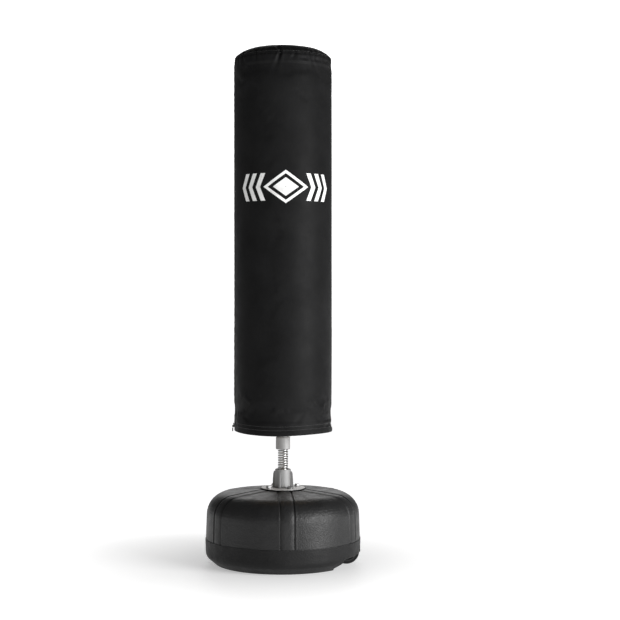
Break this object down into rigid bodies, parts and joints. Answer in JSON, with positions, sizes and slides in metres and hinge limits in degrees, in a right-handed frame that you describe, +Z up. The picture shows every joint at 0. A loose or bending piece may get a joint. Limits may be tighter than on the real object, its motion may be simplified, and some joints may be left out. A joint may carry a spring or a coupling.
{
  "type": "free-standing punch bag",
  "caption": "Tall padded punch bag on a coil-spring neck, standing on a round ribbed water-filled base with transport wheels.",
  "frame": {"origin": "centre of the tank's foot, on the floor", "axes": "+Z up along the bag, -Y the bag's front, +X towards the wheels"},
  "size_m": [0.5119, 0.512, 1.7],
  "materials": {
    "tank_plastic": "black moulded plastic with a fine leather grain",
    "water": "water fill",
    "galvanised_steel": "bright zinc plate",
    "silver_paint": "silver grey powder coat",
    "spring_steel": "bright drawn spring wire",
    "tyre_rubber": "black rubber",
    "wheel_plastic": "black moulded plastic",
    "bush_plastic": "natural white plastic",
    "cap_plastic": "black moulded plastic",
    "plywood": "birch plywood",
    "core_plastic": "grey plastic tube",
    "foam": "grey closed-cell foam",
    "cover_leather": "black coated fabric",
    "webbing": "black woven binding",
    "zip_metal": "black enamelled zip metal"
  },
  "bodies": {
    "base": {"water_tank": "tank_plastic", "water_ballast": "water", "threaded_inserts": "galvanised_steel", "flange_plate": "silver_paint", "socket_tube": "silver_paint", "socket_fins": "silver_paint", "flange_bolts": "galvanised_steel", "flange_washers": "galvanised_steel", "lower_spring_plug": "galvanised_steel", "socket_pin": "galvanised_steel", "wheel_axle": "galvanised_steel", "axle_caps": "galvanised_steel", "axle_spacers": "bush_plastic"},
    "front_wheel": {"front_tyre": "tyre_rubber", "front_rim": "wheel_plastic", "front_bush": "bush_plastic"},
    "rear_wheel": {"rear_tyre": "tyre_rubber", "rear_rim": "wheel_plastic", "rear_bush": "bush_plastic"},
    "cap": {"filler_cap": "cap_plastic", "cap_gasket": "tyre_rubber"},
    "spring_middle": {"spring": "spring_steel"},
    "bag": {"upper_spring_plug": "galvanised_steel", "upper_collar": "silver_paint", "collar_pin": "galvanised_steel", "neck_post": "silver_paint", "base_clamp": "silver_paint", "clamp_screws": "galvanised_steel", "bottom_disc": "plywood", "core_tube": "core_plastic", "top_disc": "plywood", "foam_core": "foam", "top_pad": "foam", "cover_side": "cover_leather", "cover_top": "cover_leather", "top_seam": "webbing", "hem_binding": "webbing", "zip_tape": "webbing", "zip_chain": "zip_metal"},
    "slider": {"zip_slider": "zip_metal"},
    "pull": {"zip_pull": "zip_metal"}
  },
  "joints": [
    {"name": "front_wheel_spin", "type": "hinge", "parent": "base", "child": "front_wheel", "pos_m": [0.206, -0.05, 0.042], "axis": [0, 1, 0], "continuous": true},
    {"name": "rear_wheel_spin", "type": "hinge", "parent": "base", "child": "rear_wheel", "pos_m": [0.206, 0.05, 0.042], "axis": [0, 1, 0], "continuous": true},
    {"name": "cap_lift", "type": "slide", "parent": "base", "child": "cap", "axis": [0, 0, 1], "range_m": [0, 0.04]},
    {"name": "lean_side", "type": "hinge", "parent": "base", "child": "spring_middle", "pos_m": [0, 0, 0.324], "axis": [0, 1, 0], "range_deg": [-30, 30], "stiffness_Nm_per_rad": 600, "deforming": ["spring"]},
    {"name": "lean_front", "type": "hinge", "parent": "spring_middle", "child": "bag", "pos_m": [0, 0, 0.356], "axis": [1, 0, 0], "range_deg": [-30, 30], "stiffness_Nm_per_rad": 600},
    {"name": "zip_slide", "type": "slide", "parent": "bag", "child": "slider", "axis": [0, 0, 1], "range_m": [0, 1.15]},
    {"name": "pull_swing", "type": "hinge", "parent": "slider", "child": "pull", "pos_m": [-0.1662, 0, 0.4505], "axis": [0, 1, 0], "range_deg": [0, 150]}
  ]
}
